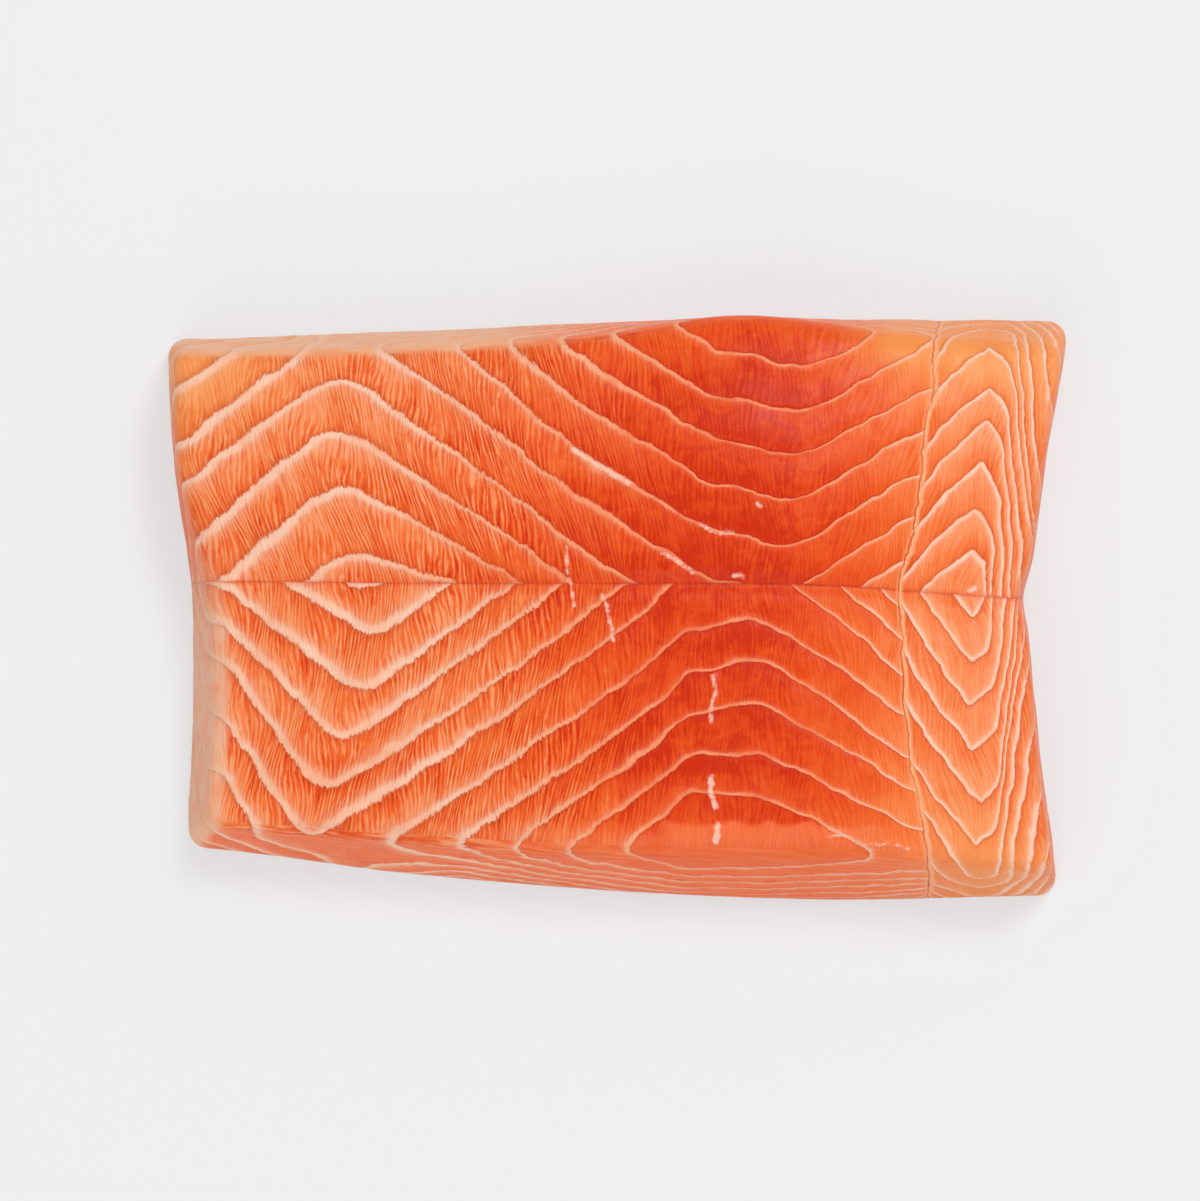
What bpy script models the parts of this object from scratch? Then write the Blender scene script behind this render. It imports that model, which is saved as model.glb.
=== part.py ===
"""A raw salmon fillet without its skin: one trimmed block of flesh that lies flat.

Its length runs along X, its depth along Y, with the front at -Y. The block starts as a box with
rounded edges and is sliced into a fine grid. Every point is then carried from that box to the
fillet's form: a curved outline, cut sides that lean out towards the base, a crowned top with a
swelling near the back, the crease down the middle and the groove before the tail end.
"""

import math

import bmesh
import bpy
from mathutils import Matrix, Vector

MM = 0.001

# The box that the fillet fills.
LENGTH = 162 * MM
DEPTH = 105 * MM
THICKNESS = 26 * MM

# Rounding of the box before it is shaped.
CORNER_ROUND = 3.4 * MM
RIM_ROUND = 3.2 * MM
BASE_ROUND = 1.2 * MM

# The outline at the base, as distances from the middle. The front and back are read at five
# stations from left to right, the left and right ends at five from front to back.
FRONT = (43.4 * MM, 48.1 * MM, 51.4 * MM, 52.9 * MM, 52.1 * MM)
BACK = (48.6 * MM, 50.2 * MM, 51.7 * MM, 52.3 * MM, 52.0 * MM)
LEFT = (76.5 * MM, 76.0 * MM, 76.3 * MM, 79.7 * MM, 80.8 * MM)
RIGHT = (77.9 * MM, 75.2 * MM, 73.8 * MM, 76.8 * MM, 80.9 * MM)

# How far each cut side leans in from the base to the top, at the same stations.
FRONT_LEAN = (2.5 * MM, 4.8 * MM, 6.2 * MM, 7.0 * MM, 3.5 * MM)
BACK_LEAN = (6.0 * MM, 6.8 * MM, 6.8 * MM, 7.2 * MM, 8.0 * MM)
LEFT_LEAN = (5.0 * MM, 5.5 * MM, 4.6 * MM, 2.6 * MM, 2.6 * MM)
RIGHT_LEAN = (2.6 * MM, 2.4 * MM, 2.2 * MM, 2.4 * MM, 2.6 * MM)
LEAN_CURVE = 1.3

# The top: its height at the rim, the crown over that, and the swelling near the back, whose
# reach pushes the back's upper edge out.
RIM_HEIGHT = 20 * MM
LEFT_DROP = 2.5 * MM
CROWN = 4 * MM
SWELL_HEIGHT = 2.4 * MM
SWELL_AT = Vector((23 * MM, 30 * MM))
SWELL_SIZE = Vector((24 * MM, 20 * MM))
SWELL_REACH = 4.2 * MM
SWELL_SPREAD = 22 * MM

# The crease between the upper and lower muscles, and the groove across them near the right end.
CREASE_Y = 1.4 * MM
CREASE_DEPTH = 1.1 * MM
CREASE_WIDTH = 2.2 * MM
CREASE_FADE = 12 * MM
GROOVE_X = 57.4 * MM
GROOVE_DEPTH = 0.7 * MM
GROOVE_WIDTH = 2.0 * MM
NOTCH_DEPTH = 1.3 * MM
NOTCH_WIDTH = 6 * MM

# Spacing of the grid that the box is sliced into.
GRID_STEP = 4.6 * MM
SIDE_ROWS = 4
SEAM_CLEARANCE = 2.6 * MM

FLESH_COLOUR = (0.83, 0.20, 0.075, 1.0)
FLESH_ROUGHNESS = 0.35


def clear_scene():
    for obj in list(bpy.data.objects):
        bpy.data.objects.remove(obj, do_unlink=True)


def part_collection(name):
    collection = bpy.data.collections.new(name)
    bpy.context.scene.collection.children.link(collection)
    return collection


def flesh_material():
    material = bpy.data.materials.new("salmon_flesh")
    material.use_nodes = True
    shader = material.node_tree.nodes["Principled BSDF"]
    shader.inputs["Base Color"].default_value = FLESH_COLOUR
    shader.inputs["Roughness"].default_value = FLESH_ROUGHNESS
    shader.inputs["Metallic"].default_value = 0.0
    material.diffuse_color = FLESH_COLOUR
    return material


def along(stations, t):
    """Value at t, from 0 to 1, of the smooth curve through evenly spaced stations."""
    spans = len(stations) - 1
    place = min(max(t, 0.0), 1.0) * spans
    first = min(int(place), spans - 1)
    f = place - first
    a = stations[max(first - 1, 0)]
    b = stations[first]
    c = stations[first + 1]
    d = stations[min(first + 2, spans)]
    return b + 0.5 * f * (c - a + f * (2 * a - 5 * b + 4 * c - d + f * (3 * (b - c) + d - a)))


def bell(distance, width):
    """1 at no distance, falling smoothly to nothing over about two widths."""
    return math.exp(-((distance / width) ** 2))


def ease(t):
    t = min(max(t, 0.0), 1.0)
    return t * t * (3 - 2 * t)


def top_height(x, y):
    """Height of the fillet's upper surface over a point of the box."""
    across = 1 - (2 * x / LENGTH) ** 4
    deep = 1 - abs(2 * y / DEPTH) ** 3
    height = RIM_HEIGHT + CROWN * max(across, 0) * max(deep, 0)
    height -= LEFT_DROP * ease(-x / LENGTH - y / DEPTH)
    height += SWELL_HEIGHT * bell(x - SWELL_AT.x, SWELL_SIZE.x) * bell(y - SWELL_AT.y, SWELL_SIZE.y)
    start = ease((x + LENGTH / 2) / CREASE_FADE)
    height -= CREASE_DEPTH * start * bell(y - CREASE_Y, CREASE_WIDTH)
    height -= GROOVE_DEPTH * bell(x - GROOVE_X, GROOVE_WIDTH)
    return height


def carry(point):
    """The place in the fillet of a point of the box."""
    u = point.x / LENGTH + 0.5
    v = point.y / DEPTH + 0.5
    rise = max(point.z / THICKNESS, 0.0)
    lean = rise ** LEAN_CURVE
    notch = NOTCH_DEPTH * bell(point.y - CREASE_Y, NOTCH_WIDTH)
    left = -along(LEFT, v) + lean * along(LEFT_LEAN, v)
    right = along(RIGHT, v) - lean * along(RIGHT_LEAN, v) - notch
    front = -along(FRONT, u) + lean * along(FRONT_LEAN, u)
    back = along(BACK, u) - lean * along(BACK_LEAN, u)
    reach = SWELL_REACH * bell(point.x - SWELL_AT.x, SWELL_SPREAD) * lean * max(2 * v - 1, 0) ** 2
    x = left + (right - left) * u
    y = front + (back - front) * v + reach
    return Vector((x, y, rise * top_height(point.x, point.y)))


def rounded_box():
    """A box on the ground with rounded corners, a softly rounded rim and a nearly sharp base."""
    box = bmesh.new()
    bmesh.ops.create_cube(box, size=1)
    size = Matrix.Diagonal((LENGTH, DEPTH, THICKNESS, 1))
    bmesh.ops.transform(box, matrix=Matrix.Translation((0, 0, THICKNESS / 2)) @ size, verts=box.verts)

    def level(edge, height):
        return all(abs(vert.co.z - height) < 1e-6 for vert in edge.verts)

    uprights = [e for e in box.edges if not level(e, 0) and not level(e, THICKNESS)]
    bmesh.ops.bevel(box, geom=uprights, offset=CORNER_ROUND, segments=3, profile=0.5, affect="EDGES")
    rim = [e for e in box.edges if level(e, THICKNESS)]
    bmesh.ops.bevel(box, geom=rim, offset=RIM_ROUND, segments=3, profile=0.5, affect="EDGES")
    base = [e for e in box.edges if level(e, 0)]
    bmesh.ops.bevel(box, geom=base, offset=BASE_ROUND, segments=1, profile=0.5, affect="EDGES")
    return box


def cuts(length, seam):
    """Evenly spaced cuts along a side, with one on the seam and one on each side of it."""
    inner = length / 2 - CORNER_ROUND
    count = round(2 * inner / GRID_STEP)
    even = [inner * (2 * i / count - 1) for i in range(count + 1)]
    clear = [place for place in even if abs(place - seam) > SEAM_CLEARANCE]
    return clear + [seam - CREASE_WIDTH, seam, seam + CREASE_WIDTH]


def slice_box(box, places, axis):
    """Cuts the box along planes that stand across one axis."""
    normal = Vector((0, 0, 0))
    normal[axis] = 1
    for place in places:
        everything = box.verts[:] + box.edges[:] + box.faces[:]
        bmesh.ops.bisect_plane(box, geom=everything, dist=1e-7, plane_co=normal * place, plane_no=normal)


def fit(box):
    """Sets the finished block on the ground, centred, at exactly its named size."""
    low = Vector([min(vert.co[i] for vert in box.verts) for i in range(3)])
    high = Vector([max(vert.co[i] for vert in box.verts) for i in range(3)])
    size = high - low
    scale = Matrix.Diagonal((LENGTH / size.x, DEPTH / size.y, THICKNESS / size.z, 1))
    foot = Vector(((low.x + high.x) / 2, (low.y + high.y) / 2, low.z))
    bmesh.ops.transform(box, matrix=scale @ Matrix.Translation(-foot), verts=box.verts)


def build_fillet(collection):
    box = rounded_box()
    slice_box(box, cuts(LENGTH, GROOVE_X), 0)
    slice_box(box, cuts(DEPTH, CREASE_Y), 1)
    wall = THICKNESS - RIM_ROUND - BASE_ROUND
    slice_box(box, [BASE_ROUND + wall * i / SIDE_ROWS for i in range(1, SIDE_ROWS)], 2)
    for vert in box.verts:
        vert.co = carry(vert.co)
    fit(box)
    bmesh.ops.recalc_face_normals(box, faces=box.faces)

    mesh = bpy.data.meshes.new("fillet")
    box.to_mesh(mesh)
    box.free()
    mesh.shade_smooth()
    mesh.materials.append(flesh_material())
    collection.objects.link(bpy.data.objects.new("fillet", mesh))


def main():
    clear_scene()
    build_fillet(part_collection("salmon_fillet"))


main()
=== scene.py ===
"""The looks of a raw salmon fillet: one block of marbled flesh that lies on a pale table.

The fillet is a finely divided block that is carried to the fillet's form. Fields worked out at each
corner of its faces say where the fat lines run, how red the flesh is and which way its fibres lie,
and one material paints from those fields.
"""

import math

import bmesh
import bpy
import numpy as np
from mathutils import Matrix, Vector


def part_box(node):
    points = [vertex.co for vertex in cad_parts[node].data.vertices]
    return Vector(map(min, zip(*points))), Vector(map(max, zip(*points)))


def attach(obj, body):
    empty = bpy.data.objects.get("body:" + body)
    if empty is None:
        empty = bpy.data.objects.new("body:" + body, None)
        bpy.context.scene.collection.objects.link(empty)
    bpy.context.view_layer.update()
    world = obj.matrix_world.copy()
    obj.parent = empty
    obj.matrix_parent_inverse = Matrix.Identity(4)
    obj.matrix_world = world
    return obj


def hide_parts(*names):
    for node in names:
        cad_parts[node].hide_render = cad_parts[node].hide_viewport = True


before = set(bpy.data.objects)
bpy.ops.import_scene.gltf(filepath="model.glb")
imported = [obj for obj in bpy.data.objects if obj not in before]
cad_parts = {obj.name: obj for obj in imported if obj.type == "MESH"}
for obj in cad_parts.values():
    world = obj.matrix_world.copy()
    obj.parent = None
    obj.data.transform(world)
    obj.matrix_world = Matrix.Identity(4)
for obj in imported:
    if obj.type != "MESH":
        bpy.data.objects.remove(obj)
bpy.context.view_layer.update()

MM = 0.001

# The block that the fillet is shaped from.
LOW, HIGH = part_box("fillet")
LENGTH = (HIGH.x - LOW.x) / MM
DEPTH = (HIGH.y - LOW.y) / MM
THICKNESS = (HIGH.z - LOW.z) / MM
CORNER_ROUND = 3.4
RIM_ROUND = 3.2
BASE_ROUND = 1.2
CORNER_X = LENGTH / 2 - CORNER_ROUND
CORNER_Y = DEPTH / 2 - CORNER_ROUND

# The side of the squares that the block is divided into, and the most lengths made in one cut.
SQUARE = 1.08
MOST_PIECES = 90

# The outline at the base, as distances from the middle in mm. The front and back are read at five
# stations from left to right, the left and right ends at five from front to back.
FRONT = (43.4, 48.1, 51.4, 52.9, 52.1)
BACK = (48.6, 50.2, 51.7, 52.3, 52.0)
LEFT = (76.5, 76.0, 76.3, 79.7, 80.8)
RIGHT = (77.9, 75.2, 73.8, 76.8, 80.9)

# How far each cut side leans in from the base to the top, at the same stations.
FRONT_LEAN = (2.5, 4.8, 6.2, 7.0, 3.5)
BACK_LEAN = (6.0, 6.8, 6.8, 7.2, 8.0)
LEFT_LEAN = (5.0, 5.5, 4.6, 2.6, 2.6)
RIGHT_LEAN = (2.6, 2.4, 2.2, 2.4, 2.6)
LEAN_CURVE = 1.3

# The top: its rim's height, the crown over that and the swelling near the back.
RIM_HEIGHT = 20.0
LEFT_DROP = 2.5
CROWN = 4.0
SWELL_HEIGHT = 2.4
SWELL_AT = (23.0, 30.0)
SWELL_SIZE = (24.0, 20.0)
SWELL_REACH = 4.2
SWELL_SPREAD = 22.0

# The crease between the upper and lower muscles, and the groove across them near the right end.
CREASE_Y = 1.4
CREASE_DEPTH = 0.7
CREASE_WIDTH = 2.2
CREASE_FADE = 12.0
GROOVE_X = 57.4
GROOVE_DEPTH = 0.7
GROOVE_WIDTH = 2.0
GROOVE_BEND = (0.0, -1.7, -0.4, 1.0, 0.6)
GROOVE_BEND_REACH = 9.0
NOTCH_DEPTH = 1.3
NOTCH_WIDTH = 6.0

# The fat lines of the upper muscle: how far each runs from the crease where it bends. A row is one
# line, from the lowest out, and a negative height runs on below the crease.
UPPER_BENDS = (-81, -54, -49, -29, -5, 15, 20, 25, 31, 38, 57.4)
UPPER_LINES = (
    (-14, 5.2, 6, -1, -12, -24, -32, -38, -40, -40, -40),
    (-2, 19.9, 20.5, 7, -9, -22, -27, -31, -33, -31, -22),
    (9, 32.4, 33, 16.5, -3, -15, -19, -21, -22, -20, -3),
    (20.6, 44, 44.5, 28, 5.7, -7, -10, -11, -13, -11, 6.8),
    (30, 54.5, 55, 38.9, 16.5, 3, 0, 0, -2, -0.5, 15.5),
    (42, 66, 66.5, 50, 26.2, 12.8, 9.6, 10, 7.2, 8.5, 24.5),
    (54, 75.5, 76, 60, 35.8, 22, 18.6, 19.2, 16, 17.7, 33),
    (65, 85.5, 86, 69.5, 45, 30.8, 27.4, 27.4, 25, 26.3, 41.5),
    (74, 93.5, 94, 78, 53.5, 38, 35.2, 35.6, 33.2, 34.5, 51.5),
    (84, 103.5, 104, 87, 62, 47, 44, 44, 42, 43.5, 59),
    (94, 112.5, 113, 96, 71, 56, 53, 53, 51, 52.5, 67),
)

# The fat lines of the lower muscle: the height at the left end, where the line peaks and how high,
# then the heights at the last three bends.
LOWER_BENDS = (12, 26, 57.4)
LOWER_STEP = 1.6
LOWER_STEP_X = 13
LOWER_STEP_REACH = 4.5
LOWER_LINES = (
    (-12, -49.4, 12, -34, -45, -40),
    (-1, -52.3, 24.3, -24, -35, -24),
    (7.6, -56.3, 35, -17, -28, 4.5),
    (15.4, -59.6, 46, -7, -18, 11),
    (28, -62.1, 56, 1, -8, 18),
    (39.4, -64, 67, 12, 6.3, 25.7),
    (52.3, -66, 78, 20.8, 14.7, 34.7),
    (63, -66, 86, 28.6, 24, 41.2),
    (73, -66, 93, 36.2, 34.3, 49.5),
    (84, -66, 101, 43.8, 43, 58),
    (95, -66, 110, 57, 57, 68),
)

# The nested rings right of the groove: where each one peaks and how far that is from the crease,
# how wide it is to the right of its peak, and how the rings fall away to the left of theirs.
UPPER_RING_PEAKS = (
    (69.9, 8.8),
    (69.1, 17.3),
    (69.4, 26.5),
    (69.3, 34.9),
    (68.6, 42),
    (67.6, 50.5),
    (67.3, 59),
    (67, 67),
    (67, 75),
)
LOWER_RING_PEAKS = (
    (71.2, 4.5),
    (69.9, 13.8),
    (68.9, 22.4),
    (68.6, 31.2),
    (69, 42.2),
    (66.9, 50.6),
    (66.5, 59),
    (66.5, 67.5),
    (66.5, 76),
)
UPPER_RING_WIDTHS = (1, 1, 1, 1, 1.12, 1.25, 1.15, 1.2, 1.35)
LOWER_RING_WIDTHS = (0.9, 1.05, 1.3, 1.28, 1.05, 1.2, 1.2, 1.28, 1.4)
UPPER_RING_SLOPE = 0.95
LOWER_RING_SLOPE = 1.5
RING_BOW = 7.7
RING_LEAN = 0.9
RING_CURVE = 4.7
RING_SHOULDER = 3.45
RING_BREAK = 4.65
RING_DROP = 4.1
RING_ZERO = -9.0

LINE_SOFTNESS = 3.0
OUTER_BAND = 10.0
NARROWEST_BAND = 2.5
WIDEST_BAND = 18.0

# How the fat lines turn as they go down the cut sides, and which way along the length.
TURN_DEPTH = 13.0
TURN_START = 0.03
TURN_END = 0.30
LINE_SHIFT = ((-81, -0.35), (-60, -0.3), (-30, 0.8), (57, 1.0))
RING_SHIFT = -0.4

# How far the fibres lean, and how plainly they and the fat lines show, from left to right.
FIBRE_LEAN = ((-81, 0.05), (-45, 0.08), (-15, 0.17), (25, 0.12), (45, 0.03), (81, 0.0))
FIBRE_SWAY = 0.9
FIBRE_SHOW = ((-81, 0.95), (-18, 1.05), (12, 0.4), (60, 0.32), (81, 0.36))
FAT_SHOW = (
    (-81, 1.25),
    (-62, 1.6),
    (-48, 1.55),
    (-34, 1.0),
    (-5, 0.78),
    (15, 0.5),
    (57.4, 0.48),
    (57.5, 0.62),
    (81, 0.68),
)

# Patches of yellower fat on the top: where each one is and how far it reaches.
YELLOW_PATCHES = (
    ((74, 54), (22, 12)),
    ((70, -56), (14, 12)),
    ((-80, 48), (18, 14)),
    ((54, 51), (8, 5)),
)

# The fine relief: bands that swell, a step and a ridge at each fat line, strands that stand proud,
# and slow unevenness, each with its reach, its turn and its height.
BAND_SWELL = 0.16
LINE_STEP = 0.07
LINE_RIDGE = 0.08
TISSUE_AND_HIGHLIGHT_RISE = 0.25
UNEVENNESS = ((17, 0.4, 0.16), (11, 1.3, 0.1), (6.3, 2.2, 0.06))

# Strands and flecks of white tissue on the top, and strips of painted wet highlight drawn like
# them,
# as places in the block: points, then half a width.
TISSUE_AND_HIGHLIGHTS = (
    (((-9.2, 9.3), (-9.3, 4.5), (-8.6, 0.6), (-8.4, -3.4)), 0.25),
    (((-2.6, -1.2), (-2.0, -3.4), (-1.7, -6.8), (-1.5, -10.4)), 0.3),
    (((24.0, 3.0), (25.1, 3.1), (26.0, 2.8)), 0.35),
    (((17.0, 12.9), (19.5, 11.5), (23.0, 11.4)), 0.3),
    (((27.5, 17.2), (28.6, 16.4)), 0.25),
    (((9.5, 7.7), (13.0, 5.4), (16.0, 3.4)), 0.25),
    (((-7.0, 29.0), (-2.0, 25.2), (3.5, 21.4)), 0.45),
    (((17.9, -17.5), (18.3, -20.5), (17.0, -24.6), (17.2, -27.0)), 0.3),
    (((16.6, -38.0), (16.2, -40.6), (16.9, -43.8)), 0.55),
    (((17.2, -47.6), (17.0, -50.4)), 0.6),
    # Two strips of painted highlight: wet glints along the front edge, painted like thin white
    # tissue.
    (((38.0, -49.6), (41.5, -49.2), (45.0, -49.9)), 0.1),
    (((46.5, -50.6), (51.0, -50.1), (54.0, -50.8)), 0.12),
    (((71.0, 2.4), (71.9, 2.8)), 0.5),
)
FAR_FROM_STRANDS = 20.0


def paint(red, green, blue):
    """A linear colour from one as it is seen, in steps of 0 to 255."""
    seen = [step / 255 for step in (red, green, blue)]
    linear = [s / 12.92 if s < 0.04045 else ((s + 0.055) / 1.055) ** 2.4 for s in seen]
    return (*linear, 1.0)


# Flesh from the palest to the reddest, and fat from where the flesh is pale to where it is red.
FLESH = (
    (0.0, paint(252, 156, 106)),
    (0.2, paint(248, 127, 69)),
    (0.45, paint(239, 99, 38)),
    (0.75, paint(229, 72, 20)),
    (1.0, paint(208, 46, 8)),
)
FAT = (
    (0.0, paint(255, 202, 174)),
    (0.3, paint(253, 176, 138)),
    (0.6, paint(252, 160, 118)),
    (1.0, paint(250, 142, 100)),
)
CUT_SIDE = paint(249, 121, 76)
YELLOW_FAT = paint(250, 166, 92)
LINE_SHADOW = paint(196, 50, 14)
CREASE_EDGE = paint(222, 76, 34)
CREASE_DARK = paint(166, 40, 16)
GROOVE_LIPS = paint(252, 176, 126)
GROOVE_DARK = paint(206, 66, 24)
RIND = paint(244, 190, 156)
# White for the tissue, and for the painted wet highlights that are drawn like it.
TISSUE_AND_HIGHLIGHT_WHITE = paint(252, 208, 186)
# A painted sheen: a pale wash that stands in for the wet flesh's sheen.
PAINTED_WET_SHEEN = paint(255, 190, 150)


# ---- The fillet's form --------------------------------------------------------------------------


def along(stations, t):
    """Values at t, from 0 to 1, of the smooth curve through evenly spaced stations."""
    stations = np.asarray(stations, float)
    spans = len(stations) - 1
    place = np.clip(t, 0, 1) * spans
    first = np.minimum(place.astype(int), spans - 1)
    f = place - first
    a = stations[np.maximum(first - 1, 0)]
    b = stations[first]
    c = stations[first + 1]
    d = stations[np.minimum(first + 2, spans)]
    return b + 0.5 * f * (c - a + f * (2 * a - 5 * b + 4 * c - d + f * (3 * (b - c) + d - a)))


def bell(distance, width):
    """1 at no distance, falling smoothly to nothing over about two widths."""
    return np.exp(-((distance / width) ** 2))


def ease(t):
    t = np.clip(t, 0, 1)
    return t * t * (3 - 2 * t)


def read_along(stations, x):
    """Values at x of the straight runs between stations, each a place and its value."""
    places, values = zip(*stations)
    return np.interp(x, places, values)


def top_height(x, y):
    """Height of the fillet's upper surface over a point of the block."""
    across = np.maximum(1 - (2 * x / LENGTH) ** 4, 0)
    deep = np.maximum(1 - np.abs(2 * y / DEPTH) ** 3, 0)
    height = RIM_HEIGHT + CROWN * across * deep
    height -= LEFT_DROP * ease(-x / LENGTH - y / DEPTH)
    swell = SWELL_HEIGHT * bell(x - SWELL_AT[0], SWELL_SIZE[0])
    height += swell * bell(y - SWELL_AT[1], SWELL_SIZE[1])
    start = ease((x + LENGTH / 2) / CREASE_FADE)
    height -= CREASE_DEPTH * start * bell(y - CREASE_Y, CREASE_WIDTH)
    height -= GROOVE_DEPTH * bell(x - GROOVE_X, GROOVE_WIDTH)
    return height


def round_block(x, y, z):
    """Rounds the block's upright corners, its rim and its base edge."""
    for_corner_x = np.abs(x) - CORNER_X
    for_corner_y = np.abs(y) - CORNER_Y
    in_corner = (for_corner_x > 0) & (for_corner_y > 0)
    reach = np.hypot(for_corner_x, for_corner_y)
    longer = np.maximum(for_corner_x, for_corner_y)
    shrink = np.where(in_corner, longer / np.maximum(reach, 1e-9), 1)
    x = np.where(in_corner, np.sign(x) * (CORNER_X + for_corner_x * shrink), x)
    y = np.where(in_corner, np.sign(y) * (CORNER_Y + for_corner_y * shrink), y)

    # How far each point is inside the outline, and which way is in.
    beyond_x = np.abs(x) - CORNER_X
    beyond_y = np.abs(y) - CORNER_Y
    radial = np.hypot(np.maximum(beyond_x, 0), np.maximum(beyond_y, 0))
    inside = CORNER_ROUND - np.where(in_corner, radial, np.maximum(beyond_x, beyond_y))
    arm = np.maximum(radial, 1e-9)
    in_x = np.where(in_corner, beyond_x / arm, beyond_x >= beyond_y) * -np.sign(x)
    in_y = np.where(in_corner, beyond_y / arm, beyond_x < beyond_y) * -np.sign(y)

    for radius, drop, way in ((RIM_ROUND, THICKNESS - z, -1), (BASE_ROUND, z, 1)):
        a = radius - inside
        b = radius - drop
        rounded = (a > 0) & (b > 0)
        pull = np.where(rounded, np.maximum(a, b) / np.maximum(np.hypot(a, b), 1e-9), 1)
        move_in = np.where(rounded, a * (1 - pull), 0)
        move_level = np.where(rounded, b * (1 - pull), 0)
        x = x + in_x * move_in
        y = y + in_y * move_in
        z = z + way * move_level
        inside = inside + move_in
    return x, y, z


def carry(x, y, z):
    """The place in the fillet of each point of the block."""
    u = x / LENGTH + 0.5
    v = y / DEPTH + 0.5
    rise = np.maximum(z / THICKNESS, 0)
    lean = rise**LEAN_CURVE
    notch = NOTCH_DEPTH * bell(y - CREASE_Y, NOTCH_WIDTH)
    left = -along(LEFT, v) + lean * along(LEFT_LEAN, v)
    right = along(RIGHT, v) - lean * along(RIGHT_LEAN, v) - notch
    front = -along(FRONT, u) + lean * along(FRONT_LEAN, u)
    back = along(BACK, u) - lean * along(BACK_LEAN, u)
    reach = SWELL_REACH * bell(x - SWELL_AT[0], SWELL_SPREAD) * lean
    reach = reach * np.maximum(2 * v - 1, 0) ** 2
    bend = along(GROOVE_BEND, v) * bell(x - GROOVE_X, GROOVE_BEND_REACH)
    placed_x = left + (right - left) * u + bend
    placed_y = front + (back - front) * v + reach
    return placed_x, placed_y, rise * top_height(x, y)


# ---- The pattern of the muscles -----------------------------------------------------------------


def softened(x, bends, heights):
    """Heights along a line through its bends, with each bend rounded."""
    steps = np.linspace(-LINE_SOFTNESS, LINE_SOFTNESS, 5)
    return sum(np.interp(x + step, bends, heights) for step in steps) / len(steps)


def upper_lines(x):
    return [softened(x, UPPER_BENDS, line) for line in UPPER_LINES]


def lower_lines(x):
    lines = []
    for end, peak_x, peak, *rest in LOWER_LINES:
        line = softened(x, (-LENGTH / 2, peak_x, *LOWER_BENDS), (end, peak, *rest))
        lines.append(line - LOWER_STEP * bell(x - LOWER_STEP_X, LOWER_STEP_REACH))
    return lines


def ring_lines(x, peaks, widths, slope):
    lines = []
    for (peak_x, peak), wide in zip(peaks, widths):
        left = np.maximum(peak_x - x, 0)
        right = np.maximum(x - peak_x, 0) / wide
        turn = np.minimum(right, RING_BREAK)
        fall = slope * left + (left / RING_BOW) ** 3
        fall = fall + RING_LEAN * right + (turn / RING_SHOULDER) ** RING_CURVE
        fall = fall + RING_DROP * (right - turn)
        lines.append(peak - fall)
    return [np.minimum(RING_ZERO, lines[0] + RING_ZERO)] + lines


def count_lines(height, lines):
    """How many fat lines lie below a height, with the fraction of the band that it is in."""
    count = np.minimum(height - lines[0], 0) / OUTER_BAND
    for below, above in zip(lines, lines[1:]):
        count = count + np.clip((height - below) / np.maximum(above - below, 0.5), 0, 1)
    return count + np.maximum(height - lines[-1], 0) / OUTER_BAND


def turned(depth):
    """How many bands a line has shifted by at a depth below the rim."""
    t = np.clip(depth / TURN_DEPTH, 0, 1)
    quicker = TURN_DEPTH * (t**3 - t**4 / 2) + np.maximum(depth - TURN_DEPTH, 0)
    return TURN_START * depth + TURN_END * quicker


def band(x, y, z, upper, ring):
    """The band that a point of the block lies in: a whole number on a fat line."""
    height = np.abs(y - CREASE_Y) * np.where(upper == (y >= CREASE_Y), 1, -1)
    count = np.zeros_like(x)
    for is_upper in (True, False):
        for is_ring in (True, False):
            here = (upper == is_upper) & (ring == is_ring)
            if is_ring and is_upper:
                lines = ring_lines(x[here], UPPER_RING_PEAKS, UPPER_RING_WIDTHS, UPPER_RING_SLOPE)
            elif is_ring:
                lines = ring_lines(x[here], LOWER_RING_PEAKS, LOWER_RING_WIDTHS, LOWER_RING_SLOPE)
            else:
                lines = upper_lines(x[here]) if is_upper else lower_lines(x[here])
            count[here] = count_lines(height[here], lines)
    shift = np.where(ring, RING_SHIFT, read_along(LINE_SHIFT, x))
    return count - shift * turned(THICKNESS - z)


def band_width(x, y, z, normal, upper, ring):
    """Width in mm of the band at each point, measured across it on the surface."""
    step = 0.4
    slope = []
    for axis in range(3):
        ahead = [x, y, z]
        behind = [x, y, z]
        ahead[axis] = ahead[axis] + step
        behind[axis] = behind[axis] - step
        slope.append((band(*ahead, upper, ring) - band(*behind, upper, ring)) / (2 * step))
    slope = np.stack(slope, -1)
    slope -= normal * (slope * normal).sum(-1, keepdims=True)
    steepness = np.maximum(np.linalg.norm(slope, axis=-1), 1e-9)
    return np.clip(1 / steepness, NARROWEST_BAND, WIDEST_BAND)


def tissue_and_highlight_distance(x, y):
    """Distance in mm to the edge of the nearest white strand on the top, of tissue and of painted
    highlight alike.
    """
    nearest = np.full(x.shape, FAR_FROM_STRANDS)
    for points, half in TISSUE_AND_HIGHLIGHTS:
        for (ax, ay), (bx, by) in zip(points, points[1:]):
            run = (bx - ax) ** 2 + (by - ay) ** 2
            t = np.clip(((x - ax) * (bx - ax) + (y - ay) * (by - ay)) / run, 0, 1)
            away = np.hypot(x - ax - t * (bx - ax), y - ay - t * (by - ay))
            nearest = np.minimum(nearest, away - half)
    return nearest


# ---- What the material paints from --------------------------------------------------------------


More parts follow.
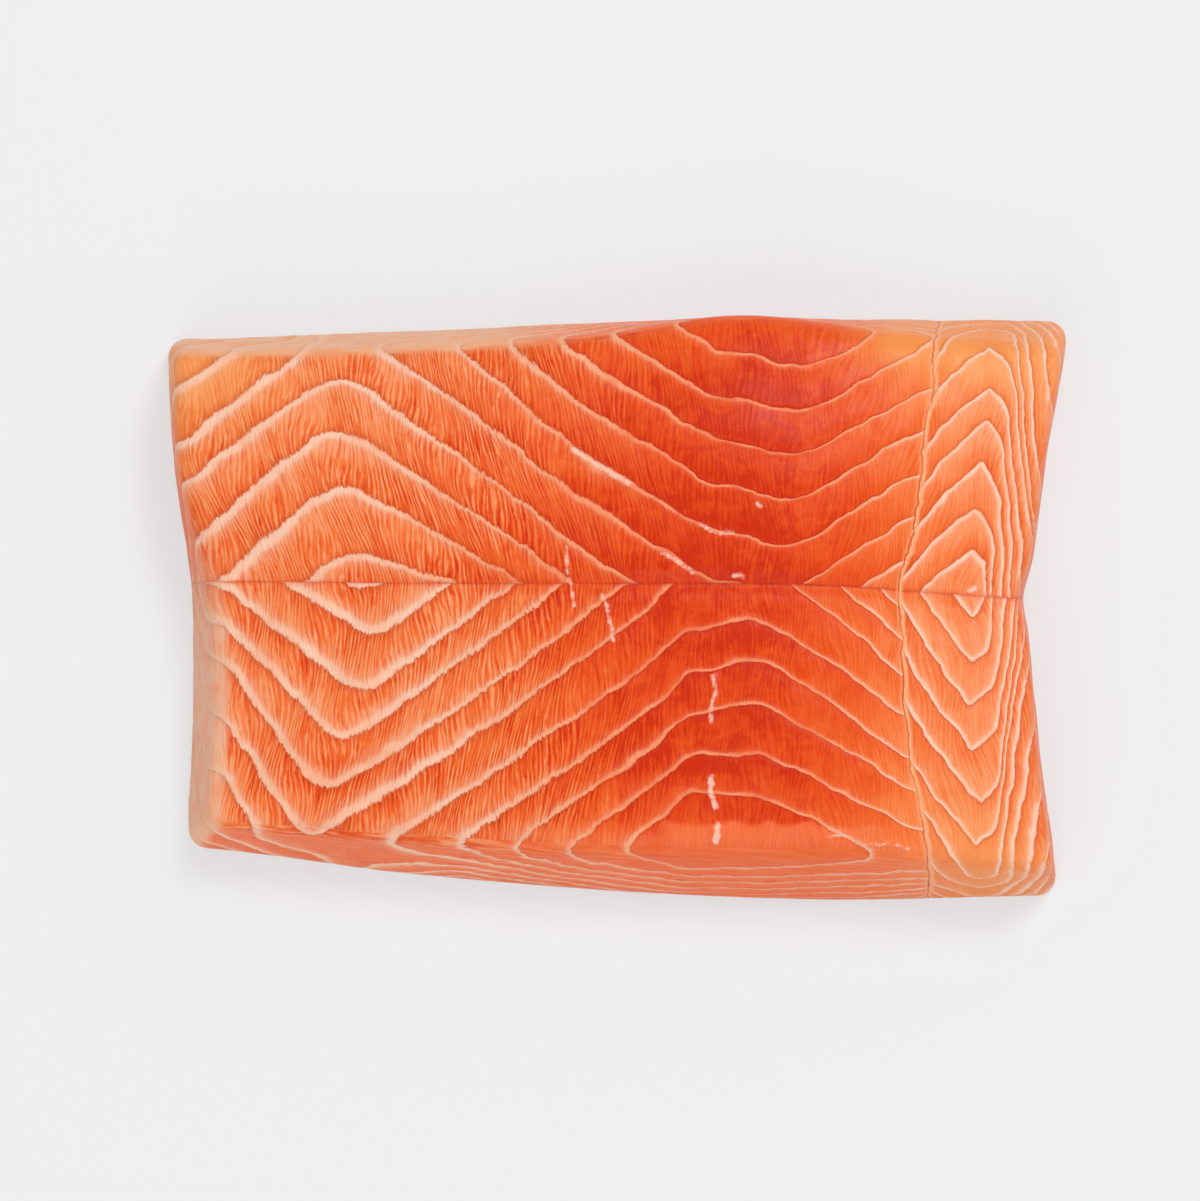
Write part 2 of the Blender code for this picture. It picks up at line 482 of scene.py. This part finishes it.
def cut_side_share(x, y, z):
    """How far each point has a cut side's paler look: below the rim, and scalloped at the front."""
    below_rim = ease((THICKNESS - z) / 7)
    front_edge = 0.8 * ease((-y - DEPTH / 2 + 6) / 6) * ease((x + 50) / 40)
    scallops = 46.2 + 1.1 * np.abs(np.sin(x / 2.9 + 0.7 * np.sin(x / 4.3)))
    scalloped = 0.8 * ease((-y - scallops) / 0.9) * ease((x - 4) / 5) * ease((52 - x) / 6)
    return np.maximum(np.maximum(below_rim, front_edge), scalloped)


def redness(x, y, side):
    """How red the flesh is: most in the middle of the length, least at the ends and the sides."""
    above = y > CREASE_Y
    height = np.abs(y - CREASE_Y)
    start = np.where(above, -56 + 0.4 * height, -42)
    red = np.where(above, np.clip((x - start) / 70, 0, 1), 0.9 * ease((x - start) / 57))
    red = red * (1 - 1.12 * ease((x - np.where(above, 30, 24)) / np.where(above, 38, 44)))
    red += 0.25 * bell(x + 60, 14) * bell(y + 42, 10)
    return red * (1 - 0.25 * ease((height - 36) / 16)) * (1 - 0.55 * side)


def yellowness(x, y):
    """How yellow the fat is: in its patches, and along the left half of the back edge."""
    yellow = 0.8 * ease((y - 50.5) / 2) * ease((4 - x) / 30)
    for (at_x, at_y), (reach_x, reach_y) in YELLOW_PATCHES:
        yellow = yellow + bell(x - at_x, reach_x) * bell(y - at_y, reach_y)
    return np.clip(yellow, 0, 1)


def rind(x, y):
    """Where the pale rind shows: at the left end, and along the left half of the back edge."""
    at_end = ease((-LENGTH / 2 + 3.4 - x) / 2) * ease((12 - y) / 24)
    return np.maximum(at_end, 0.8 * ease((y - 50.8) / 1.6) * ease((-x - 4) / 24))


def fibre_places(x, y, z, normal):
    """Places counted across the fibres and along them.

    The fibres run out from the crease on the top, leaning with the muscles, and lie along the cut
    sides. A third number keeps the top, the ends and the long sides from sharing one grain.
    """
    height = np.abs(y - CREASE_Y)
    sway = FIBRE_SWAY * np.sin(height / 4.5 + 0.3 * x)
    across = x + read_along(FIBRE_LEAN, x) * height + sway
    fibre = np.stack([across, height, np.zeros_like(x)], -1)
    cut = np.abs(normal[:, 2]) <= 0.5
    on_end = cut & (np.abs(normal[:, 0]) > 0.5)
    on_side = cut & ~on_end
    fibre[on_end] = np.stack([0.5 * z + 0.05 * y, y, np.full_like(z, 40)], -1)[on_end]
    fibre[on_side] = np.stack([0.5 * z + 0.04 * x, x, np.full_like(z, 80)], -1)[on_side]
    return fibre


def read(items, name, width, kind=float):
    """One value or more from each item of a mesh, as the rows of an array."""
    values = np.empty(len(items) * width, np.float32 if kind is float else np.int32)
    items.foreach_get(name, values)
    return values.reshape(-1, width).astype(kind)


def write_field(mesh, name, values):
    """Stores one number, or one arrow, for each corner of each face."""
    kind, entry = ("FLOAT_VECTOR", "vector") if values.ndim > 1 else ("FLOAT", "value")
    field = mesh.attributes.new(name, kind, "CORNER")
    field.data.foreach_set(entry, values.astype(np.float32).ravel())


def write_fields(mesh, points):
    """Works out, in the block, everything that the flesh's material paints from."""
    corner_vertex = read(mesh.loops, "vertex_index", 1, int)[:, 0]
    faces = mesh.polygons
    counts = read(faces, "loop_total", 1, int)[:, 0]
    face_of_corner = np.repeat(np.arange(len(faces)), counts)
    centres = read(faces, "center", 3)[face_of_corner]
    normal = read(faces, "normal", 3)[face_of_corner]
    x, y, z = points[corner_vertex].T
    upper = centres[:, 1] > CREASE_Y
    ring = centres[:, 0] > GROOVE_X
    on_top = normal[:, 2] > 0.5
    side = cut_side_share(x, y, z)
    thicker_fat = 1.1 * bell(x + 2, 6) * bell(y - 24, 6)
    fields = {
        "band": band(x, y, z, upper, ring),
        "band_width": band_width(x, y, z, normal, upper, ring),
        "redness": redness(x, y, side),
        "yellowness": yellowness(x, y),
        "rind": rind(x, y),
        "cut_side": side,
        "fibre": fibre_places(x, y, z, normal),
        "fibre_show": np.maximum(read_along(FIBRE_SHOW, x), 0.7 * side),
        "fat_show": read_along(FAT_SHOW, x) + thicker_fat,
        "crease": y - CREASE_Y,
        "groove": x - GROOVE_X,
        "tissue_and_highlight": np.where(on_top, tissue_and_highlight_distance(x, y), FAR_FROM_STRANDS),
    }
    for name, values in fields.items():
        write_field(mesh, name, values)


# ---- Making the fillet --------------------------------------------------------------------------


def select_edges(obj, axis, low, high):
    """Selects the edges that run along an axis between two places on it."""
    mesh = bmesh.from_edit_mesh(obj.data)
    bpy.ops.mesh.select_all(action="DESELECT")
    for edge in mesh.edges:
        a, b = (vert.co for vert in edge.verts)
        runs = abs(a[axis] - b[axis]) > 0.999 * (a - b).length
        middle = (a[axis] + b[axis]) / 2
        if runs and low < middle < high:
            edge.select_set(True)
    bmesh.update_edit_mesh(obj.data)


def divide(obj, axis, low, high):
    """Cuts the edges along an axis, between two places on it, into squares' lengths."""
    pieces = round((high - low) / SQUARE)
    halves = 1 if pieces > MOST_PIECES else 0
    for cuts in [1] * halves + [round(pieces / 2**halves) - 1]:
        select_edges(obj, axis, low, high)
        bpy.ops.mesh.subdivide(number_cuts=cuts)


def block_of_flesh():
    """A block in mm, cut along the crease and the groove and divided into small squares."""
    bpy.ops.object.select_all(action="DESELECT")
    size = (LENGTH, DEPTH, THICKNESS)
    bpy.ops.mesh.primitive_cube_add(size=1, location=(0, 0, THICKNESS / 2), scale=size)
    obj = bpy.context.object
    obj.name = "salmon_flesh"
    obj.data.name = "salmon_flesh"
    bpy.ops.object.transform_apply(location=True, rotation=False, scale=True)
    bpy.ops.object.mode_set(mode="EDIT")
    bpy.ops.mesh.select_mode(type="EDGE")
    for place, across in (((GROOVE_X, 0, 0), (1, 0, 0)), ((0, CREASE_Y, 0), (0, 1, 0))):
        bpy.ops.mesh.select_all(action="SELECT")
        bpy.ops.mesh.bisect(plane_co=place, plane_no=across)
    divide(obj, 0, -LENGTH / 2, GROOVE_X)
    divide(obj, 0, GROOVE_X, LENGTH / 2)
    divide(obj, 1, -DEPTH / 2, CREASE_Y)
    divide(obj, 1, CREASE_Y, DEPTH / 2)
    divide(obj, 2, 0, THICKNESS)
    mesh = bmesh.from_edit_mesh(obj.data)
    bpy.ops.mesh.select_mode(type="FACE")
    bpy.ops.mesh.select_all(action="DESELECT")
    for face in mesh.faces:
        face.select_set(face.normal.z > 0.5)
    bmesh.update_edit_mesh(obj.data)
    bpy.ops.mesh.subdivide(number_cuts=1)
    bpy.ops.object.mode_set(mode="OBJECT")
    bpy.ops.object.shade_smooth()
    return obj


def relief(points):
    """How far each point stands proud in mm."""
    x, y, z = points.T
    upper = y > CREASE_Y
    ring = x > GROOVE_X
    count = band(x, y, z, upper, ring)
    share = count - np.floor(count)
    swell = BAND_SWELL * np.sin(np.pi * share) ** 0.8 - LINE_STEP * bell(share - 0.07, 0.06)
    line = LINE_RIDGE * bell(share - 0.98, 0.05)
    near = np.minimum(np.abs(y - CREASE_Y), np.abs(x - GROOVE_X))
    edge = ease(near / 3)
    uneven = 0.0
    for reach, turn, amount in UNEVENNESS:
        a = (x * math.cos(turn) + y * math.sin(turn)) / reach
        b = (y * math.cos(turn) - x * math.sin(turn) + 1.7 * z) / reach
        uneven = uneven + amount * np.sin(2 * a + 1.3 * np.sin(b)) * np.cos(1.7 * b + turn)
    tissue_and_highlight = TISSUE_AND_HIGHLIGHT_RISE * (1 - ease(tissue_and_highlight_distance(x, y) / 0.8)) * (z > THICKNESS - 1)
    return ((swell + line) * edge + uneven + tissue_and_highlight) * ease(z / 4)


def make_fillet():
    obj = block_of_flesh()
    mesh = obj.data
    flat = read(mesh.vertices, "co", 3)
    points = np.stack(round_block(*flat.T), -1)
    write_fields(mesh, points)
    placed = np.stack(carry(*points.T), -1)
    mesh.vertices.foreach_set("co", (placed * MM).astype(np.float32).ravel())
    mesh.update()
    outward = read(mesh.vertex_normals, "vector", 3)
    placed += outward * relief(points)[:, None]
    low = placed.min(0)
    high = placed.max(0)
    scale = np.array((LENGTH, DEPTH, THICKNESS)) / (high - low)
    foot = np.array(((low[0] + high[0]) / 2, (low[1] + high[1]) / 2, low[2]))
    placed = (placed - foot) * scale
    mesh.vertices.foreach_set("co", (placed * MM).astype(np.float32).ravel())
    mesh.update()
    return obj


# ---- The material -------------------------------------------------------------------------------


class Paintwork:
    """A short way to write down a material's nodes."""

    def __init__(self, name):
        self.material = bpy.data.materials.new(name)
        self.material.use_nodes = True
        self.tree = self.material.node_tree
        self.shader = self.tree.nodes["Principled BSDF"]
        self.where = self.tree.nodes.new("ShaderNodeTexCoord").outputs["Object"]

    def put(self, socket, value):
        if isinstance(value, bpy.types.NodeSocket):
            self.tree.links.new(value, socket)
        else:
            socket.default_value = value

    def field(self, name, output="Fac"):
        node = self.tree.nodes.new("ShaderNodeAttribute")
        node.attribute_name = name
        return node.outputs[output]

    def sum(self, operation, a, b=0.0, c=0.0):
        node = self.tree.nodes.new("ShaderNodeMath")
        node.operation = operation
        for socket, value in zip(node.inputs, (a, b, c)):
            self.put(socket, value)
        return node.outputs[0]

    def stretch(self, vector, size):
        """The same places with each axis counted in its own size of step."""
        node = self.tree.nodes.new("ShaderNodeMapping")
        self.put(node.inputs["Vector"], vector)
        node.inputs["Scale"].default_value = [1 / s for s in size]
        return node.outputs[0]

    def noise(self, vector, detail=2.0, rough=0.5, warp=0.0):
        node = self.tree.nodes.new("ShaderNodeTexNoise")
        self.put(node.inputs["Vector"], vector)
        node.inputs["Scale"].default_value = 1.0
        node.inputs["Detail"].default_value = detail
        node.inputs["Roughness"].default_value = rough
        node.inputs["Distortion"].default_value = warp
        return node.outputs["Fac"]

    def ripple(self, vector, warp):
        """Soft stripes across X, one to each step, bent by noise."""
        node = self.tree.nodes.new("ShaderNodeTexWave")
        self.put(node.inputs["Vector"], vector)
        node.inputs["Scale"].default_value = math.pi / 10
        node.inputs["Distortion"].default_value = warp
        node.inputs["Detail"].default_value = 2.5
        node.inputs["Detail Scale"].default_value = 1.1
        node.inputs["Detail Roughness"].default_value = 0.6
        return node.outputs["Fac"]

    def ramp(self, value, *stops):
        """A grey or coloured strip read at a value, from (place, level) stops."""
        node = self.tree.nodes.new("ShaderNodeValToRGB")
        self.put(node.inputs["Fac"], value)
        strip = node.color_ramp.elements
        while len(strip) < len(stops):
            strip.new(1.0)
        for stop, (place, level) in zip(strip, stops):
            stop.position = place
            stop.color = level if isinstance(level, tuple) else (level, level, level, 1.0)
        return node.outputs["Color"]

    def span(self, value, low, high, start=0.0, end=1.0, kind="LINEAR"):
        node = self.tree.nodes.new("ShaderNodeMapRange")
        node.interpolation_type = kind
        for socket, entry in zip(node.inputs, (value, low, high, start, end)):
            self.put(socket, entry)
        return node.outputs[0]

    def blend(self, share, a, b, kind="MIX"):
        node = self.tree.nodes.new("ShaderNodeMix")
        node.data_type = "RGBA"
        node.blend_type = kind
        self.put(node.inputs["Factor"], share)
        self.put(node.inputs["A"], a)
        self.put(node.inputs["B"], b)
        return node.outputs["Result"]


def place_in_band(p, hair, drift):
    """The band at each point with its lines made uneven, and the place across the nearest line.

    Slow waves move the lines, and the ends of fibres fray them.
    """
    width = p.field("band_width")
    waves = p.noise(p.stretch(p.where, (0.0055,) * 3), 2.0)
    waves = p.sum("MULTIPLY_ADD", waves, 2.4, -1.2)
    fray = p.sum("MULTIPLY_ADD", hair, 2.0, -1.0)
    fray = p.sum("MULTIPLY", fray, p.sum("POWER", p.field("fibre_show"), 2.0))
    wander = p.sum("DIVIDE", p.sum("ADD", waves, fray), width)
    band_here = p.sum("ADD", p.field("band"), wander)
    nearest = p.sum("ROUND", band_here)
    away = p.sum("MULTIPLY", p.sum("SUBTRACT", band_here, nearest), width)
    swelling = p.span(drift, 0.35, 0.65, 0.8, 1.2)
    away = p.sum("DIVIDE", away, p.sum("MULTIPLY", p.field("fat_show"), swelling))
    return p.sum("FRACT", band_here), p.span(away, -4.0, 2.0)


def depth_of_colour(p, share, mottle, drift):
    """How red the flesh is at each point: more just outside a line, less towards the next one."""
    depth = p.sum("MULTIPLY_ADD", p.field("redness"), 0.72, 0.12)
    depth = p.sum("MULTIPLY_ADD", mottle, 0.4, p.sum("SUBTRACT", depth, 0.2))
    depth = p.sum("MULTIPLY_ADD", drift, 0.3, p.sum("SUBTRACT", depth, 0.15))
    cloud = p.noise(p.stretch(p.where, (0.0032,) * 3), 3.0, 0.6, 1.0)
    cloud = p.sum("SUBTRACT", cloud, 0.5)
    cloud = p.sum("MULTIPLY", cloud, p.span(p.field("redness"), 0.2, 0.9, 0.1, 0.7))
    depth = p.sum("ADD", depth, cloud)
    shade = p.ramp(share, (0.0, 0.2), (0.25, 0.16), (0.6, 0.05), (0.85, 0.0), (1.0, 0.0))
    return p.sum("ADD", depth, shade)


def paint_flesh(p, depth, fibre, strand, show, mottle):
    """Flesh with its fibres: pale streaks with darker gaps, gathered in sheaves."""
    sheaf = p.noise(p.stretch(fibre, (2.3, 14.0, 1.0)), 2.0, 0.5, 0.3)
    streak = p.ramp(strand, (0.28, 0.95), (0.4, 0.56), (0.52, 0.46), (0.63, 0.08), (0.7, 0.0))
    streak = p.sum("MULTIPLY", p.sum("SUBTRACT", streak, 0.42), show)
    streak = p.sum("MULTIPLY", streak, p.span(mottle, 0.34, 0.62, 0.5, 1.25))
    depth = p.sum("MULTIPLY_ADD", streak, 0.75, depth)
    depth = p.sum("MULTIPLY_ADD", p.span(sheaf, 0.35, 0.7, 0.1, -0.14), show, depth)
    side = p.sum("MULTIPLY", p.field("cut_side"), p.span(mottle, 0.35, 0.6, 0.45, 0.85))
    flesh = p.blend(side, p.ramp(depth, *FLESH), CUT_SIDE)
    return p.blend(p.sum("MULTIPLY", p.field("yellowness"), 0.65), flesh, YELLOW_FAT)


def paint_fat(p, flesh, glow, shadow, mottle):
    """Fat lines over the flesh, each with its shadow outside it."""
    faint = p.span(p.field("redness"), 0.3, 1.0, 0.7, 0.4)
    broken = p.span(mottle, 0.34, 0.56, faint, 1.0)
    colour = p.blend(p.sum("MULTIPLY", shadow, 0.36), flesh, LINE_SHADOW)
    return p.blend(p.sum("MULTIPLY", glow, broken), colour, p.ramp(p.field("redness"), *FAT))


def paint_crease(p, colour, fine, mottle):
    crease = p.sum("SUBTRACT", p.field("crease"), 0.35)
    crease = p.sum("ABSOLUTE", p.sum("MULTIPLY_ADD", fine, 0.7, crease))
    colour = p.blend(p.span(crease, 0.2, 1.0, 0.3, 0.0), colour, CREASE_EDGE)
    deep = p.span(mottle, 0.35, 0.6, 0.3, 0.85)
    deep = p.sum("MULTIPLY", deep, p.span(p.field("redness"), 0.0, 0.5, 0.6, 1.0))
    deep = p.sum("MULTIPLY", p.span(crease, 0.0, 0.35, 0.8, 0.0), deep)
    return p.blend(deep, colour, CREASE_DARK)


def paint_groove(p, colour, mottle, drift):
    """The groove across the muscles: two pale lips and a dark gap."""
    waver = p.sum("MULTIPLY_ADD", mottle, 3.2, -1.6)
    groove = p.span(p.sum("ADD", p.field("groove"), waver), -3.0, 3.0)
    lips = p.ramp(
        groove,
        (0.36, 0.0),
        (0.42, 0.4),
        (0.47, 0.3),
        (0.49, 0.0),
        (0.53, 0.95),
        (0.61, 0.9),
        (0.69, 0.0),
    )
    colour = p.blend(lips, colour, GROOVE_LIPS)
    gap = p.ramp(groove, (0.455, 0.0), (0.49, 0.85), (0.51, 0.85), (0.53, 0.0))
    gap = p.sum("MULTIPLY", gap, p.span(drift, 0.35, 0.6, 0.4, 1.0))
    return p.blend(gap, colour, GROOVE_DARK)


def paint_rind_tissue_highlights_and_sheen(p, colour, fine, mottle):
    pale = p.sum("MULTIPLY", p.field("rind"), p.span(mottle, 0.35, 0.55, 0.5, 0.9))
    colour = p.blend(pale, colour, RIND)
    # White tissue, and painted wet highlights drawn as thin white strands, with ragged edges.
    ragged = p.sum("MULTIPLY_ADD", fine, 1.5, p.sum("SUBTRACT", p.field("tissue_and_highlight"), 0.72))
    tissue_and_highlight = p.span(ragged, -0.3, 0.3, 0.8, 0.0, "SMOOTHSTEP")
    colour = p.blend(tissue_and_highlight, colour, TISSUE_AND_HIGHLIGHT_WHITE)
    # Painted sheen: a faint pale wash in fine patches, laid over everything for the wet look.
    return p.blend(p.span(fine, 0.25, 0.75, 0.0, 0.1), colour, PAINTED_WET_SHEEN, "SOFT_LIGHT")


def flesh_finish():
    """Moist orange flesh in bands, with fibres, fat lines, a dark crease, strands of tissue,
    painted wet highlights and a painted sheen.
    """
    p = Paintwork("salmon_flesh")
    fibre = p.field("fibre", "Vector")
    show = p.field("fibre_show")
    fine = p.noise(p.stretch(p.where, (0.0011,) * 3), 3.0, 0.6)
    mottle = p.noise(p.stretch(p.where, (0.0075,) * 3), 3.0, 0.55, 0.6)
    drift = p.noise(p.stretch(p.where, (0.026,) * 3), 2.0)
    hair = p.noise(p.stretch(fibre, (0.5, 5.5, 1.0)), 3.0, 0.6, 0.9)
    ripple = p.ripple(p.stretch(fibre, (0.85, 4.5, 1.0)), 9.0)
    strand = p.sum("MULTIPLY_ADD", ripple, 0.28, p.sum("MULTIPLY_ADD", hair, 0.9, -0.09))

    # A line has a hard outer edge with a shadow outside it, and a glow that fades inwards.
    share, place = place_in_band(p, hair, drift)
    glow = p.ramp(
        place,
        (0.2, 0.0),
        (0.4, 0.1),
        (0.49, 0.28),
        (0.56, 0.84),
        (0.61, 1.0),
        (0.7, 1.0),
        (0.735, 0.0),
    )
    shadow = p.ramp(place, (0.7, 0.0), (0.74, 1.0), (0.79, 0.6), (0.9, 0.0))
    shadow = p.sum("MULTIPLY", shadow, p.span(p.field("cut_side"), 0.0, 1.0, 1.0, 0.3))

    depth = depth_of_colour(p, share, mottle, drift)
    colour = paint_flesh(p, depth, fibre, strand, show, mottle)
    colour = paint_fat(p, colour, glow, shadow, mottle)
    colour = paint_crease(p, colour, fine, mottle)
    colour = paint_groove(p, colour, mottle, drift)
    colour = paint_rind_tissue_highlights_and_sheen(p, colour, fine, mottle)
    p.put(p.shader.inputs["Base Color"], colour)

    rough = p.span(p.noise(p.stretch(p.where, (0.004,) * 3), 3.0), 0.3, 0.7, 0.26, 0.42)
    p.put(p.shader.inputs["Roughness"], p.sum("MULTIPLY_ADD", glow, 0.08, rough))
    p.shader.inputs["Subsurface Weight"].default_value = 0.12
    p.shader.inputs["Subsurface Radius"].default_value = (1.0, 0.35, 0.2)
    p.shader.inputs["Subsurface Scale"].default_value = 0.002
    p.shader.inputs["Specular IOR Level"].default_value = 0.12

    grain = p.sum("MULTIPLY", strand, show)
    grain = p.sum("MULTIPLY_ADD", grain, 0.8, p.sum("MULTIPLY", fine, 0.25))
    grain = p.sum("MULTIPLY_ADD", glow, 0.5, grain)
    bump = p.tree.nodes.new("ShaderNodeBump")
    bump.inputs["Strength"].default_value = 0.6
    bump.inputs["Distance"].default_value = 0.0004
    p.put(bump.inputs["Height"], p.sum("MULTIPLY_ADD", shadow, -0.4, grain))
    p.put(p.shader.inputs["Normal"], bump.outputs["Normal"])
    return p.material


# ---- The table, the light and the camera --------------------------------------------------------

TABLE_SIZE = 3.0
TABLE_PLAINNESS = 0.6
CAMERA_ELEVATION = 82.5
CAMERA_DISTANCE = 1.0
CAMERA_VIEW = 0.216
CAMERA_SHIFT = (-0.0142, 0.0067)
WORLD_LIGHT = 0.48

# The lamps: name, place in metres, power in watts and the side of the square in metres.
LAMPS = (
    ("window", (0.55, 0.75, 1.5), 13.5, 0.6),
    ("fill", (-0.35, -1.1, 1.2), 8.0, 1.0),
)


def make_table():
    bpy.ops.object.select_all(action="DESELECT")
    bpy.ops.mesh.primitive_plane_add(size=TABLE_SIZE, location=(0, 0, 0))
    table = bpy.context.object
    table.name = "table"
    p = Paintwork("table")
    p.shader.inputs["Base Color"].default_value = paint(238, 239, 241)
    p.shader.inputs["Roughness"].default_value = 0.9
    p.shader.inputs["Specular IOR Level"].default_value = 0.1
    plain = p.tree.nodes.new("ShaderNodeEmission")
    plain.inputs["Color"].default_value = paint(238, 239, 240)
    mix = p.tree.nodes.new("ShaderNodeMixShader")
    seen = p.tree.nodes.new("ShaderNodeLightPath").outputs["Is Camera Ray"]
    p.put(mix.inputs["Fac"], p.sum("MULTIPLY", seen, TABLE_PLAINNESS))
    p.put(mix.inputs[1], p.shader.outputs[0])
    p.put(mix.inputs[2], plain.outputs[0])
    p.put(p.tree.nodes["Material Output"].inputs["Surface"], mix.outputs[0])
    table.data.materials.append(p.material)


def make_light():
    world = bpy.data.worlds.new("studio")
    bpy.context.scene.world = world
    world.use_nodes = True
    backdrop = world.node_tree.nodes["Background"]
    backdrop.inputs["Color"].default_value = (1.0, 1.0, 1.0, 1.0)
    backdrop.inputs["Strength"].default_value = WORLD_LIGHT
    for name, place, power, size in LAMPS:
        bpy.ops.object.select_all(action="DESELECT")
        bpy.ops.object.light_add(type="AREA", location=place)
        lamp = bpy.context.object
        lamp.name = name
        lamp.data.energy = power
        lamp.data.size = size
        lamp.rotation_euler = (-Vector(place)).to_track_quat("-Z", "Y").to_euler()


def make_camera():
    tilt = math.radians(CAMERA_ELEVATION)
    back = Vector((0, -math.cos(tilt), math.sin(tilt)))
    bpy.ops.object.select_all(action="DESELECT")
    bpy.ops.object.camera_add(location=back * CAMERA_DISTANCE)
    camera = bpy.context.object
    camera.rotation_euler = (-back).to_track_quat("-Z", "Y").to_euler()
    camera.data.sensor_width = 36
    camera.data.lens = camera.data.sensor_width * CAMERA_DISTANCE / CAMERA_VIEW
    camera.data.shift_x, camera.data.shift_y = CAMERA_SHIFT
    camera.data.clip_start = 0.01
    bpy.context.scene.camera = camera


def main():
    scene = bpy.context.scene
    scene.view_settings.view_transform = "Standard"
    make_table()
    make_light()
    make_camera()
    fillet = make_fillet()
    fillet.data.materials.append(flesh_finish())
    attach(fillet, "root")
    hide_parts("fillet")


main()
